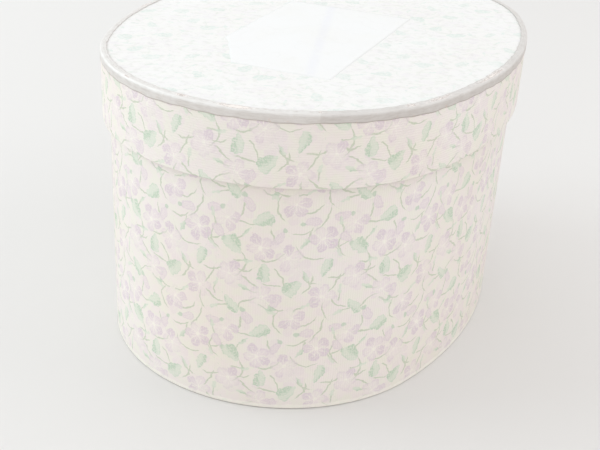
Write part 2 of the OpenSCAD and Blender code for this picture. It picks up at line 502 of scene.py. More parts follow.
class Oval:
    """The box-maker's oval of four tangent arcs. A place on it is the angle of its normal."""

    def __init__(self, end_radius):
        self.end = end_radius
        self.end_centre = HALF_LENGTH - end_radius
        self.side = (HALF_WIDTH ** 2 + self.end_centre ** 2 - end_radius ** 2) / (
            2 * (HALF_WIDTH - end_radius))
        self.side_centre = self.side - HALF_WIDTH
        self.split = math.atan2(self.end_centre, self.side_centre)

    def at(self, angle, inset):
        """Points on the outline moved inwards by inset."""
        along, up = np.cos(angle), np.sin(angle)
        on_side = np.abs(up) < math.sin(self.split)
        radius = np.where(on_side, self.side, self.end) - inset
        x = np.where(on_side, -np.sign(along) * self.side_centre, 0) + radius * along
        y = np.where(on_side, 0, np.sign(up) * self.end_centre) + radius * up
        return x, y

    def spaced(self, count, inset):
        """Angles at even steps of length from the back end round, and the lengths there."""
        quarter = math.pi / 2
        turns = np.array([
            quarter, 2 * quarter - self.split, 2 * quarter + self.split,
            4 * quarter - self.split, 4 * quarter + self.split, 5 * quarter])
        radii = np.array([self.end, self.side, self.end, self.side, self.end]) - inset
        lengths = np.concatenate([[0], np.cumsum(np.diff(turns) * radii)])
        steps = np.linspace(0, lengths[-1], count + 1)
        return np.interp(steps, lengths, turns), steps


def make_mesh(name, points, faces, paper=None):
    """An object from points and faces, with its paper coordinates in millimetres."""
    mesh = bpy.data.meshes.new(name)
    mesh.from_pydata([tuple(p) for p in points], [], faces)
    if paper is not None:
        layer = mesh.uv_layers.new(name=PAPER_UV)
        layer.data.foreach_set("uv", np.asarray(paper, np.float32).ravel())
    mesh.polygons.foreach_set("use_smooth", [True] * len(mesh.polygons))
    mesh.validate()
    mesh.update()
    return linked(name, mesh)


def linked(name, data):
    """An object in the scene."""
    made = bpy.data.objects.new(name, data)
    bpy.context.scene.collection.objects.link(made)
    return made


def flat_mesh(name, points, faces):
    """An object whose paper coordinates are x and y in millimetres."""
    paper = [(points[v][0] / MM, points[v][1] / MM) for face in faces for v in face]
    return make_mesh(name, points, faces, paper)


def girth(inset):
    """The length round the oval in millimetres."""
    return Oval(sizes().end_radius).spaced(1, inset)[1][-1] / MM


def grid_faces(columns, rows, wrap_rows):
    """Quads between the points of a closed round of columns, each with some rows."""
    i, j = np.meshgrid(np.arange(columns), np.arange(rows if wrap_rows else rows - 1), indexing="ij")
    i, j = i.ravel(), j.ravel()
    right, above = (i + 1) % columns, (j + 1) % rows
    return np.stack([i * rows + j, right * rows + j, right * rows + above, i * rows + above], 1), i, j


def hoop(name, profile, along, count, drape=None):
    """A closed band round the oval.

    profile is a closed list of (inset, height), outer side first and running upwards there.
    along is the inset at which lengths round the band are measured.
    drape moves the points, given millimetres round the band and the points' insets and heights.
    """
    oval = Oval(sizes().end_radius)
    angle, length = oval.spaced(count, along)
    inset = np.repeat(np.array([p[0] for p in profile])[None], count, 0)
    height = np.repeat(np.array([p[1] for p in profile])[None], count, 0)
    turn = np.repeat(angle[:-1, None], len(profile), 1)
    if drape:
        inset, height = drape(length[:-1, None] / MM, inset, height)
    x, y = oval.at(turn, inset)
    points = np.stack([x, y, height], -1).reshape(-1, 3)
    faces, i, j = grid_faces(count, len(profile), True)
    across = np.concatenate([[0], np.cumsum(np.hypot(
        np.diff([p[0] for p in profile] + [profile[0][0]]),
        np.diff([p[1] for p in profile] + [profile[0][1]])))]) / MM
    top = length / MM
    paper = np.stack([
        np.stack([top[i], across[j]], -1), np.stack([top[i + 1], across[j]], -1),
        np.stack([top[i + 1], across[j + 1]], -1), np.stack([top[i], across[j + 1]], -1)], 1)
    return make_mesh(name, points, faces.tolist(), paper)


def rounded(corners, steps=6):
    """A path of (inset, height) through corners (inset, height, rounding)."""
    path = []
    for k, (inset, height, radius) in enumerate(corners):
        if not radius:
            path.append((inset, height))
            continue
        here = np.array((inset, height))
        back = np.array(corners[k - 1][:2]) - here
        ahead = np.array(corners[k + 1][:2]) - here
        back, ahead = back / np.hypot(*back), ahead / np.hypot(*ahead)
        for step in range(steps + 1):
            turn = step / steps * math.pi / 2
            path.append(tuple(
                here + back * radius * (1 - math.sin(turn)) + ahead * radius * (1 - math.cos(turn))))
    return path


def refined(path, longest):
    """The path with its long stretches divided."""
    out = [path[0]]
    for a, b in zip(path, path[1:]):
        parts = max(1, math.ceil(math.dist(a, b) / longest - 1e-6))
        out += [tuple(np.array(a) + (np.array(b) - a) * k / parts) for k in range(1, parts + 1)]
    return out


def folded(path, thickness):
    """The closed outline of a sheet of some thickness on the inner side of a path."""
    points = np.array(path)
    outward = np.column_stack([-points[:, 0], points[:, 1]])
    heading = np.gradient(outward, axis=0)
    heading /= np.hypot(*heading.T)[:, None]
    inner = outward + np.column_stack([-heading[:, 1], heading[:, 0]]) * thickness
    back = [(-p[0], p[1]) for p in inner[::-1]]
    return list(path) + back


def disc(name, inset, low, high, count, rings, drape=None):
    """An oval sheet. Its paper coordinates are x and y in millimetres."""
    oval = Oval(sizes().end_radius)
    angle, _ = oval.spaced(count, inset)
    x, y = oval.at(angle[:-1], inset)
    share = 1 - np.arange(rings) / rings
    top, bottom = (
        np.stack([np.outer(x, share), np.outer(y, share), np.full((count, rings), level)], -1)
        for level in (high, low))
    if drape:
        top = drape(top)
    points = [*top.reshape(-1, 3), *bottom.reshape(-1, 3)]
    faces, _, _ = grid_faces(count, rings, False)
    faces = faces.tolist()
    offset = count * rings
    faces += [[offset + p for p in reversed(face)] for face in faces]
    centre_top, centre_low = len(points), len(points) + 1
    points += [(0, 0, top[:, -1, 2].mean()), (0, 0, low)]
    for i in range(count):
        after = (i + 1) % count
        here, there = i * rings, after * rings
        faces.append([here + rings - 1, there + rings - 1, centre_top])
        faces.append([offset + there + rings - 1, offset + here + rings - 1, centre_low])
        faces.append([offset + here, offset + there, there, here])
    return flat_mesh(name, points, faces)


def slab(name, top, thickness):
    """A sheet below a grid of points, rows along Y from low to high and columns along X."""
    rows, columns = top.shape[:2]
    low = top - np.array([0, 0, thickness])
    points = [*top.reshape(-1, 3), *low.reshape(-1, 3)]
    offset = rows * columns
    faces = []
    for j in range(rows - 1):
        for i in range(columns - 1):
            a = j * columns + i
            face = [a, a + 1, a + columns + 1, a + columns]
            faces += [face, [offset + v for v in reversed(face)]]
    edge = [*range(columns - 1), *range(columns - 1, offset - 1, columns),
            *range(offset - 1, offset - columns, -1), *range(offset - columns, 0, -columns)]
    for a, b in zip(edge, edge[1:] + edge[:1]):
        faces.append([offset + a, offset + b, b, a])
    made = flat_mesh(name, points, faces)
    for side in made.data.polygons[-len(edge):]:
        side.use_smooth = False
    return made


def sunk(points):
    """How far the lid's top has sunk at some points."""
    x, y = points[..., 0] / MM, points[..., 1] / MM
    return 0.05 * MM * (1 + np.sin(x * 0.05) * np.sin(y * 0.04 + 1))


def wave(seed, length, wanted):
    """A smooth random curve round the band, as a function of the length along it."""
    random = np.random.default_rng(seed)
    counts = np.maximum(1, np.round(length / np.array(wanted)))
    phases = random.uniform(0, 2 * math.pi, len(wanted))

    def at(where):
        return sum(
            np.sin(where * 2 * math.pi * n / length + p) for n, p in zip(counts, phases)
        ) / len(wanted)

    return at


def cockles(ripple, depth, lean):
    """A drape that gives a pasted lining small cockles, some millimetres deep."""

    def drape(along, inset, height):
        return inset + (ripple(along + height / MM * lean) + 1) * 0.5 * depth * MM, height

    return drape


# ---------------------------------------------------------------------------------------------
# Geometry Nodes


class Growth:
    """A Geometry Nodes tree that is built node by node, and ends in its paper's material."""

    def __init__(self, name, kinds):
        self.tree = bpy.data.node_groups.new(name, "GeometryNodeTree")
        open_sockets(self.tree, "INPUT", {"Geometry": "Geometry", **kinds, "Paper": "Material"})
        open_sockets(self.tree, "OUTPUT", {"Geometry": "Geometry"})
        self.source = self.tree.nodes.new("NodeGroupInput").outputs

    def add(self, kind, settings=None, sockets=None):
        """The outputs of a new node, with its settings and its sockets' values or links."""
        made = self.tree.nodes.new(kind)
        for name, value in (settings or {}).items():
            setattr(made, name, value)
        for name, value in (sockets or {}).items():
            if isinstance(value, bpy.types.NodeSocket):
                self.tree.links.new(value, made.inputs[name])
            else:
                made.inputs[name].default_value = value
        return made.outputs

    def math(self, operation, *values):
        """The result of a Math node."""
        return self.add("ShaderNodeMath", {"operation": operation}, dict(enumerate(values)))[0]

    def scaled(self, vector, factor):
        """A vector made longer or shorter."""
        sockets = {0: vector, "Scale": factor}
        return self.add("ShaderNodeVectorMath", {"operation": "SCALE"}, sockets)[0]

    def stored(self, name):
        """A number stored on the mesh."""
        settings = {"data_type": "FLOAT"}
        return self.add("GeometryNodeInputNamedAttribute", settings, {"Name": name})["Attribute"]

    def random(self, low, high, step):
        """A random number for each instance, from the tree's seed."""
        seed = self.math("ADD", self.source["Seed"], step)
        settings = {"data_type": "FLOAT"}
        return self.add("FunctionNodeRandomValue", settings, {2: low, 3: high, "Seed": seed})[1]

    def ended(self, geometry):
        """The finished tree, with its instances realized and its material set."""
        real = self.add("GeometryNodeRealizeInstances", {}, {0: geometry})[0]
        smooth = self.add("GeometryNodeSetShadeSmooth", {}, {0: real})[0]
        sockets = {"Geometry": smooth, "Material": self.source["Paper"]}
        painted = self.add("GeometryNodeSetMaterial", {}, sockets)[0]
        self.add("NodeGroupOutput", {}, {0: painted})
        return self.tree


def ribbed_tree():
    """Presses ribs into a paper, along the attribute that counts millimetres across them."""
    grow = Growth("ribbed paper", {"Rib Pitch": "Float", "Rib Height": "Float"})
    ribs = grow.math("DIVIDE", grow.stored("across_ribs"), grow.source["Rib Pitch"])
    swell = grow.math("SINE", grow.math("MULTIPLY", ribs, 2 * math.pi))
    swell = grow.math("MULTIPLY", swell, grow.source["Rib Height"])
    swell = grow.math("MULTIPLY", swell, grow.stored("rib_share"))
    offset = grow.scaled(grow.add("GeometryNodeInputNormal")[0], swell)
    moved = {"Geometry": grow.source["Geometry"], "Offset": offset}
    return grow.ended(grow.add("GeometryNodeSetPosition", {}, moved)[0])


def pleat_tree():
    """Small tucks along the binding's inner edge, where a straight strip is folded over a curve."""
    grow = Growth("binding tucks", {
        "Tuck Spacing": "Float", "Tuck Length": "Float", "Tuck Width": "Float", "Seed": "Int"})
    source, up = grow.source, (0, 0, 1)
    curve = grow.add("GeometryNodeMeshToCurve", {}, {"Mesh": source["Geometry"]})[0]
    points = grow.add(
        "GeometryNodeCurveToPoints", {"mode": "LENGTH"},
        {"Curve": curve, "Length": source["Tuck Spacing"]})
    tuck = grow.add("GeometryNodeMeshUVSphere", {}, {"Segments": 8, "Rings": 6, "Radius": 0.5})
    shape = grow.add("ShaderNodeCombineXYZ", {}, {
        "X": source["Tuck Width"], "Y": source["Tuck Length"], "Z": 0.22 * MM})[0]
    lean = grow.add("FunctionNodeAxisAngleToRotation", {}, {
        "Axis": up, "Angle": grow.random(-0.5, 0.5, 2)})[0]
    turn = grow.add("FunctionNodeRotateRotation", {}, {0: points["Rotation"], 1: lean})[0]
    level = grow.add(
        "FunctionNodeAlignRotationToVector", {"axis": "Z", "pivot_axis": "AUTO"},
        {"Vector": up, "Rotation": turn})[0]
    spread = grow.add("GeometryNodeInstanceOnPoints", {}, {
        "Points": points["Points"], "Instance": tuck["Mesh"], "Rotation": level,
        "Scale": grow.scaled(shape, grow.random(0.45, 1.15, 1))})[0]
    return grow.ended(spread)


def grown(made, tree, **values):
    """Runs a Geometry Nodes tree on an object and keeps the result as its plain mesh."""
    modifier = made.modifiers.new(tree.name, "NODES")
    modifier.node_group = tree
    for item in tree.interface.items_tree:
        key = item.name.replace(" ", "_").lower()
        if item.in_out == "INPUT" and key in values:
            modifier[item.identifier] = values[key]
    bpy.context.view_layer.update()
    graph = bpy.context.evaluated_depsgraph_get()
    mesh = bpy.data.meshes.new_from_object(
        made.evaluated_get(graph), preserve_all_data_layers=True, depsgraph=graph)
    made.modifiers.clear()
    old, made.data = made.data, mesh
    mesh.name = made.name
    bpy.data.meshes.remove(old)
    return made


def ribbed(made, paper):
    """Presses the ribs into a piece and gives it its material."""
    size = sizes()
    tree = bpy.data.node_groups.get("ribbed paper") or ribbed_tree()
    return grown(made, tree, rib_pitch=size.rib_pitch, rib_height=size.rib_height, paper=paper)


def number_layer(made, name, values):
    """Stores one number per point."""
    layer = made.data.attributes.new(name, "FLOAT", "POINT")
    layer.data.foreach_set("value", np.asarray(values, np.float32).ravel())


def placed(made, body, material, slot, *nodes):
    """Gives a piece its material, if any, and its body, and hides the CAD nodes it stands for; slot is
    not used.
    """
    if material:
        made.data.materials.append(material)
    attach(made, body)
    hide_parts(*nodes)
    return made


# ---------------------------------------------------------------------------------------------
# Finishes


def paper_bump(shade, place, scale=1.4):
    """Fine fibres and a slow cockle."""
    return shade.noise(place, scale, 4.0) * 0.5 + shade.noise(place, scale * 0.1, 2.0) * 0.5


def worn_paper(shade, tone, place):
    """A printed paper with slow changes of tone and a few darker specks."""
    slow = shade.noise(place, 0.018, 3.0).ramp(0.35, 0.75)
    tone = shade.multiply(slow * 0.55, tone, (0.965, 0.935, 0.89, 1))
    specks = shade.noise(place, 0.9, 2.0).ramp(0.70, 0.80)
    return shade.multiply(specks * 0.5, tone, (0.86, 0.80, 0.72, 1))


def side_finish(name, foot_light):
    """Printed paper on an upright side."""

    def base(shade):
        tone, _ = printed(shade, shade.uv(), 0.0)
        where = shade.place()
        tone = worn_paper(shade, tone, where)
        if foot_light:
            height = shade.split(where)[2]
            # A pale strip at the foot: painted light reflected from the floor onto the rounded foot.
            ragged = shade.noise(shade.uv(), 0.25, 3.0) * 3.0
            painted_foot_glow = (height - ragged).ramp(1.6, 0.4)
            tone = shade.mix(painted_foot_glow * 0.7, tone, tint("heart"))
            stain = shade.vector("DISTANCE", where, (-14.0, -122.0, 42.0), output=1)
            stain = (stain + shade.noise(where, 0.04, 3.0) * 30).ramp(62.0, 20.0)
            tone = shade.multiply(stain * 0.25, tone, (1.0, 0.95, 0.88, 1))
        return tone

    return finish(
        name, base, mottled(0.8, 0.12, 0.62), lambda s: paper_bump(s, s.uv()), 0.05,
        Specular_IOR_Level=0.5, Coat_Weight=0.1, Coat_Roughness=0.5)


def top_finish():
    """Printed paper on the lid's top, faded and under a pale painted sheen."""

    def base(shade):
        place = shade.uv()
        fade_and_sheen = shade.noise(place, 0.03, 4.0).ramp(0.3, 0.75)
        tone, leaves = printed(shade, place, fade_and_sheen * 0.3)
        # Mostly mixed into the pale colour: fading of the print and painted sheen of the grazing light.
        tone = shade.mix(fade_and_sheen * 0.15 + 0.68, worn_paper(shade, tone, place), tint("fade_and_sheen"))
        broken = shade.noise(place, 0.7, 2.0).ramp(0.38, 0.56)
        tone = shade.mix(leaves * broken * (0.42 - fade_and_sheen * 0.25), tone, tint("faded_leaf"))
        # Small dark dashes over the top: painted shade of the crinkled paper.
        crinkle_shade = shade.noise(place, 0.30, 3.0).ramp(0.50, 0.66)
        tone = shade.multiply(crinkle_shade * 0.75, tone, (0.91, 0.92, 0.90, 1))
        flecks = shade.noise(place, 0.50, 2.0).ramp(0.64, 0.72)
        return shade.mix(flecks * 0.35, tone, tint("faded_leaf"))

    def relief(shade):
        across = shade.split(shade.uv())[1]
        ribs = (across * (2 * math.pi * MM / sizes().rib_pitch)).math("SINE")
        crinkle = shade.noise(shade.uv(), 0.55, 3.0)
        return ribs * 0.3 + crinkle * 0.9 + paper_bump(shade, shade.uv())

    return finish(
        "top paper", base, mottled(0.5, 0.15, 0.42), relief, 0.07,
        Specular_IOR_Level=0.5, Coat_Weight=0.08, Coat_Roughness=0.3)


def plain_finish(name, colour_name):
    """Unprinted paper, with fibres and a few age spots."""

    def base(shade):
        place = shade.place()
        slow = shade.noise(place, 0.03, 4.0).ramp(0.35, 0.7)
        tone = shade.multiply(slow * 0.7, tint(colour_name), (0.95, 0.90, 0.80, 1))
        spots = shade.noise(place, 0.22, 1.0).ramp(0.72, 0.78)
        tone = shade.multiply(spots * 0.5, tone, (0.80, 0.62, 0.42, 1))
        fibre = shade.noise(shade.vector("MULTIPLY", place, (0.3, 2.0, 2.0)), 1.2, 3.0).ramp(0.55, 0.75)
        return shade.multiply(fibre * 0.3, tone, (0.92, 0.90, 0.86, 1))

    return finish(
        name, base, mottled(0.6, 0.1, 0.75, False), lambda s: paper_bump(s, s.place(), 1.0), 0.06,
        Specular_IOR_Level=0.3)


def board_finish():
    """Straw-coloured pasteboard with dark flecks."""

    def base(shade):
        place = shade.place()
        flecks = shade.noise(place, 1.6, 3.0).ramp(0.60, 0.72)
        tone = shade.multiply(flecks * 0.7, tint("board"), (0.55, 0.45, 0.35, 1))
        pale = shade.noise(shade.vector("MULTIPLY", place, (0.4, 1.0, 2.5)), 0.9, 3.0).ramp(0.60, 0.8)
        return shade.mix(pale * 0.3, tone, (0.70, 0.62, 0.48, 1))

    return finish(
        "pasteboard", base, mottled(0.8, 0.1, 0.8, False),
        lambda s: paper_bump(s, s.place(), 0.8), 0.12, Specular_IOR_Level=0.2)


def tape_finish():
    """Loosely woven tape."""

    def weave(shade):
        place = shade.place()
        x, y, z = shade.split(place)
        warp = ((x + y) * 7.0).math("SINE")
        weft = ((z + x * 0.3) * 7.0).math("SINE")
        return warp * 0.5 + weft * 0.5

    def base(shade):
        return shade.multiply(
            weave(shade).ramp(0.3, -0.8) * 0.6, tint("tape"), (0.75, 0.70, 0.60, 1))

    return finish("woven tape", base, 0.9, weave, 0.1, Specular_IOR_Level=0.2)


def silver_finish():
    """Aged metallic paper, brown in spots, white where torn, with painted shade and highlight."""

    def wear(shade):
        place = shade.uv()
        return shade.attribute("wear") + (shade.noise(place, 0.9, 4.0) - 0.5) * 0.9

    def chips(shade):
        return wear(shade).ramp(0.52, 0.60)

    def base(shade):
        place = shade.uv()
        below = shade.attribute("below")
        stretched = shade.vector("MULTIPLY", place, (0.25, 1.6, 1.0))
        streaks = shade.noise(stretched, 0.9, 4.0).ramp(0.40, 0.68)
        tone = shade.multiply(streaks * 0.45, tint("silver"), (0.80, 0.77, 0.76, 1))
        blots = shade.noise(place, 0.16, 3.0).ramp(0.42, 0.70)
        tone = shade.mix(blots * 0.5, tone, (0.85, 0.84, 0.83, 1))
        # Darker over the side of the edge: painted shade on the face turned down from the light.
        tone = shade.multiply(below.ramp(0.50, 0.75), tone, (0.87, 0.845, 0.83, 1))
        # Darker still along the strip's lower edge.
        tone = shade.multiply(below.ramp(0.94, 1.0) * 0.6, tone, (0.66, 0.58, 0.52, 1))
        # A lighter band on the crown of the rounded edge: painted highlight.
        crown_highlight = below.ramp(0.50, 0.44) * below.ramp(0.34, 0.42) * (streaks + 0.4)
        tone = shade.mix(crown_highlight * 0.4, tone, (0.90, 0.88, 0.86, 1))
        # A thin darker line at the inner edge: painted shadow line where the strip meets the top paper.
        tone = shade.multiply(below.ramp(0.07, 0.0) * 0.25, tone, (0.66, 0.60, 0.56, 1))
        # The second strip is darker: partly its own tone, partly painted shade on the side of the lid
        # turned from the light.
        tone = shade.multiply(shade.attribute("second"), tone, (0.89, 0.88, 0.875, 1))
        rust = shade.noise(place, 0.45, 3.0).ramp(0.60, 0.72) * (below.ramp(0.55, 0.90) + 0.3)
        tone = shade.mix(rust * 0.35, tone, (0.62, 0.48, 0.41, 1))
        soft = (shade.attribute("wear") + (shade.noise(place, 0.5, 3.0) - 0.5) * 0.8).ramp(0.15, 0.55)
        tone = shade.mix(soft * 0.7, tone, (0.90, 0.85, 0.83, 1))
        tone = shade.mix(chips(shade), tone, (0.90, 0.84, 0.80, 1))
        rim = wear(shade).ramp(0.44, 0.52) * (1 - chips(shade))
        return shade.multiply(rim * 0.8, tone, (0.55, 0.48, 0.44, 1))

    def relief(shade):
        place = shade.uv()
        stretched = shade.vector("MULTIPLY", place, (0.3, 1.2, 1.0))
        return shade.noise(stretched, 1.0, 4.0) + shade.noise(place, 0.3, 3.0) * 0.6 - chips(shade) * 0.8

    return finish(
        "silver paper", base, lambda s: s.noise(s.uv(), 0.5, 3.0) * 0.2 + 0.42, relief, 0.14,
        lambda s: (1 - chips(s)) * 0.12, Specular_IOR_Level=0.5)


def label_finish():
    """White label paper with a faint ruled band and faded pencil-grey smudges."""

    def base(shade):
        place = shade.uv()
        x, y, _ = shade.split(place)
        off = abs(x - 5.0 + (y + 19.0) * 0.30) + (shade.noise(place, 0.2, 2.0) - 0.5) * 1.2
        band = off.ramp(4.2, 0.4) * shade.noise(place, 0.08, 3.0).ramp(0.25, 0.5)
        tone = shade.mix(band * 0.15, tint("label"), (0.68, 0.68, 0.84, 1))
        slow = shade.noise(place, 0.03, 3.0).ramp(0.4, 0.75)
        tone = shade.multiply(slow * 0.5, tone, (0.98, 0.97, 0.94, 1))
        creases = abs(shade.noise(place, 0.05, 2.0) - 0.5).ramp(0.02, 0.0)
        return shade.multiply(creases * 0.08, tone, (0.80, 0.78, 0.75, 1))

    return finish(
        "label paper", base, mottled(0.4, 0.12, 0.40), lambda s: paper_bump(s, s.uv(), 0.8), 0.06,
        Specular_IOR_Level=0.5)


def floor_finish():
    """Plain pale floor."""
    return finish(
        "pale floor",
        lambda s: s.multiply(s.noise(s.place(), 0.002, 2.0) * 0.2, tint("floor"), (0.97, 0.965, 0.96, 1)),
        0.85, Specular_IOR_Level=0.15)


# ---------------------------------------------------------------------------------------------
# Operators, one for each piece or group of like pieces


class MakeBodyCover(bpy.types.Operator):
    """Wraps the printed paper round the box's wall"""

    bl_idname = "violet_box.body_cover"
    bl_label = "Body cover"

    def execute(self, context):
        size = sizes()
        outer = inset_of("body_cover_paper")
        inner = inset_of("base_board") + size.paper
        under = outer + BODY_TURN_IN
        turn_in = RIM - BODY_TURN_IN
        path = rounded([
            (under, FOOT, 0), (outer, FOOT, 0.5 * MM), (outer, RIM, 0.8 * MM),
            (inner, RIM, 0.8 * MM), (inner, turn_in, 0)], steps=3)
        profile = folded(refined(path, 15 * MM), size.paper)
        whole = girth(outer)
        slow = wave(3, whole, (260, 120, 75))
        quick = wave(4, whole, (40, 23, 17))

        def drape(along, inset, height):
            """Lets the wall wander a little, most in the middle of its height."""
            share = np.sin(np.clip((height - FOOT) / (RIM - FOOT), 0, 1) * math.pi)
            lift = (slow(along) + 1) * 0.5 * 0.18 + (quick(along + height / MM * 0.4) + 1) * 0.5 * 0.05
            return inset - lift * share * MM, height

        ribs = round(whole * MM / size.rib_pitch)
        columns = ribs * 3
        made = hoop("body_cover", profile, outer, columns, drape)
        along = np.repeat(np.linspace(0, whole, columns, endpoint=False), len(profile))
        number_layer(made, "across_ribs", along * MM * (ribs * size.rib_pitch / (whole * MM)))
        heights = np.array([p[1] for p in profile])
        on_face = np.array([abs(p[0] - outer) < 0.1 * MM for p in profile])
        share = on_face & (heights > FOOT + 1 * MM) & (heights < RIM - 1 * MM)
        number_layer(made, "rib_share", np.tile(share, columns))
        ribbed(made, side_finish("printed paper, body", True))
        placed(made, "box", None, "printed_paper", "body_cover_paper")
        return {"FINISHED"}


class MakeBodyLinings(bpy.types.Operator):
    """Lines the box's wall and base with plain paper"""

    bl_idname = "violet_box.body_linings"
    bl_label = "Body linings"

    def execute(self, context):
        size = sizes()
        wall = inset_of("base_board")
        drop = RIM - LINING_SHORT
        turn_in = RIM - BODY_TURN_IN
        tape = BASE_TOP + TAPE_REACH
        step = size.lining + 0.1 * MM
        path = rounded([
            (wall + size.paper + size.lining, drop, 0),
            (wall + size.paper + size.lining, turn_in, 0),
            (wall + size.lining, turn_in - step, 0),
            (wall + size.lining, tape + step, 0),
            (wall + 2 * size.lining, tape, 0),
            (wall + 2 * size.lining, BASE_TOP + size.lining, 0)])
        profile = folded(refined(path, 12 * MM), size.lining)
        whole = girth(wall)
        drape = cockles(wave(8, whole, (90, 41, 27)), 0.12, 0.3)
        count = context.scene.violet_box.columns
        paper = plain_finish("lining paper", "lining")
        made = hoop("body_lining", profile, wall, count, drape)
        placed(made, "box", paper, "lining_paper", "body_lining_paper")

        def cockle(top):
            """Lifts the paper over the corner tape's edge and lets it cockle."""
            x, y = top[..., 0] / MM, top[..., 1] / MM
            edge = np.linspace(0, 1, top.shape[1])[None]
            over_tape = np.clip((0.11 - edge) / 0.02, 0, 1) * size.lining
            top[..., 2] += over_tape + (np.sin(x * 0.11 + 1) * np.sin(y * 0.07) + 1) * 0.05 * MM
            return top

        base = disc(
            "base_lining", wall + 2 * size.lining, BASE_TOP, BASE_TOP + size.lining, count, 48, cockle)
        placed(base, "box", paper, "lining_paper", "base_lining_paper")
        return {"FINISHED"}


class MakeBaseCover(bpy.types.Operator):
    """Pastes plain paper under the base"""

    bl_idname = "violet_box.base_cover"
    bl_label = "Base cover"

    def execute(self, context):
        outer = inset_of("base_cover_paper")
        step = inset_of("body_cover_paper") + BODY_TURN_IN
        under = [(outer, 0.0), (step, 0.0), (step + 1 * MM, FOOT)]
        over = [(inset, level + FOOT) for inset, level in reversed(under)]
        count = context.scene.violet_box.columns
        oval = Oval(sizes().end_radius)
        angle, _ = oval.spaced(count, outer)
        points, faces = [], []
        for inset, level in under + over:
            x, y = oval.at(angle[:-1], inset)
            points += [(a, b, level) for a, b in zip(x, y)]
        for low, high in ((0, 1), (1, 2), (3, 4), (4, 5), (5, 0)):
            low, high = low * count, high * count
            for i in range(count):
                after = (i + 1) % count
                faces.append([low + after, low + i, high + i, high + after])
        faces.append([2 * count + i for i in reversed(range(count))])
        faces.append([3 * count + i for i in range(count)])
        made = flat_mesh("base_cover", points, faces)
        placed(made, "box", plain_finish("plain paper", "plain"), "plain_paper", "base_cover_paper")
        return {"FINISHED"}


class MakeLidCovers(bpy.types.Operator):
    """Covers the lid's side and top with printed paper"""

    bl_idname = "violet_box.lid_covers"
    bl_label = "Lid covers"

    def execute(self, context):
        placed(self.side(), "lid", None, "printed_paper", "lid_side_paper")
        top = disc(
            "lid_top_cover", 1.7 * MM, TOP_PAPER_LOW - 0.05 * MM, TOP_PAPER_HIGH, 384, 40, self.sag)
        placed(top, "lid", top_finish(), "top_paper", "lid_top_paper")
        return {"FINISHED"}

    def side(self):
        """The paper round the side, turned in over the lower edge, with its ribs upright."""
        size = sizes()
        outer = inset_of("lid_side_paper")
        inner = inset_of("lid_board") + size.paper
        high = TOP - 1.9 * MM
        path = rounded([
            (inner, LID_EDGE + LID_TURN_IN, 0), (inner, LID_EDGE, 0.7 * MM),
            (outer, LID_EDGE, 0.7 * MM), (outer, high, 0)], steps=4)
        rib_step = size.rib_pitch / 4
        fine = []
        for a, b in zip(path, path[1:]):
            upright = abs(a[0] - b[0]) < 1e-7 and a[0] == outer and abs(a[1] - b[1]) > 5 * MM
            fine += refined([a, b], rib_step if upright else 4 * MM)[:-1]
        fine.append(path[-1])
        closed = folded(fine, size.paper)
        whole = girth(outer)
        slow = wave(11, whole, (190, 95, 60))
        lip = wave(12, whole, (48, 21, 13))

        def drape(along, inset, height):
            """Lets the lower edge of the lid wander in and out and up and down."""
            low = np.clip(1 - (height - LID_EDGE) / (20 * MM), 0, 1)
            inset = inset + (slow(along) * 0.10 + lip(along) * 0.06) * low * MM
            foot = np.clip(1 - (height - LID_EDGE) / (3 * MM), 0, 1)
            return inset, height + (lip(along + 7) + 1) * 0.10 * foot * MM

        count = 384
        made = hoop("lid_side_cover", closed, outer, count, drape)
        heights = np.array([p[1] for p in closed])
        on_face = np.array([abs(p[0] - outer) < 0.1 * MM for p in closed])
        share = on_face & (heights > LID_EDGE + 1.2 * MM)
        number_layer(made, "across_ribs", np.tile(heights, count))
        number_layer(made, "rib_share", np.tile(share, count))
        return ribbed(made, side_finish("printed paper, lid", False))

    @staticmethod
    def sag(top):
        """The board has sunk a little."""
        top[..., 2] -= sunk(top)
        return top


class MakeLidLinings(bpy.types.Operator):
    """Lines the lid's side and ceiling with plain paper"""

    bl_idname = "violet_box.lid_linings"
    bl_label = "Lid linings"

    def execute(self, context):
        size = sizes()
        wall = inset_of("lid_board")
        turn_in = LID_EDGE + LID_TURN_IN
        tape = LID_BOARD_LOW - TAPE_REACH
        step = size.lining + 0.1 * MM
        path = [
            (wall + size.lining * 2, LID_CEILING),
            (wall + size.lining * 2, tape),
            (wall + size.lining, tape - step),
            (wall + size.lining, turn_in + step),
            (wall + size.paper + size.lining, turn_in),
            (wall + size.paper + size.lining, LID_EDGE + LINING_SHORT)]
        profile = folded(refined(path, 5 * MM), size.lining)
        whole = girth(wall)
        drape = cockles(wave(15, whole, (80, 37, 25)), 0.10, 0.0)
        count = context.scene.violet_box.columns
        paper = plain_finish("lid lining paper", "lining")
        made = hoop("lid_side_lining_paper", profile, wall, count, drape)
        placed(made, "lid", paper, "lining_paper", "lid_side_lining")

        ceiling = disc(
            "lid_ceiling_lining", wall + size.lining, LID_CEILING, LID_BOARD_LOW, count, 40)
        placed(ceiling, "lid", paper, "lining_paper", "lid_top_lining")
        return {"FINISHED"}


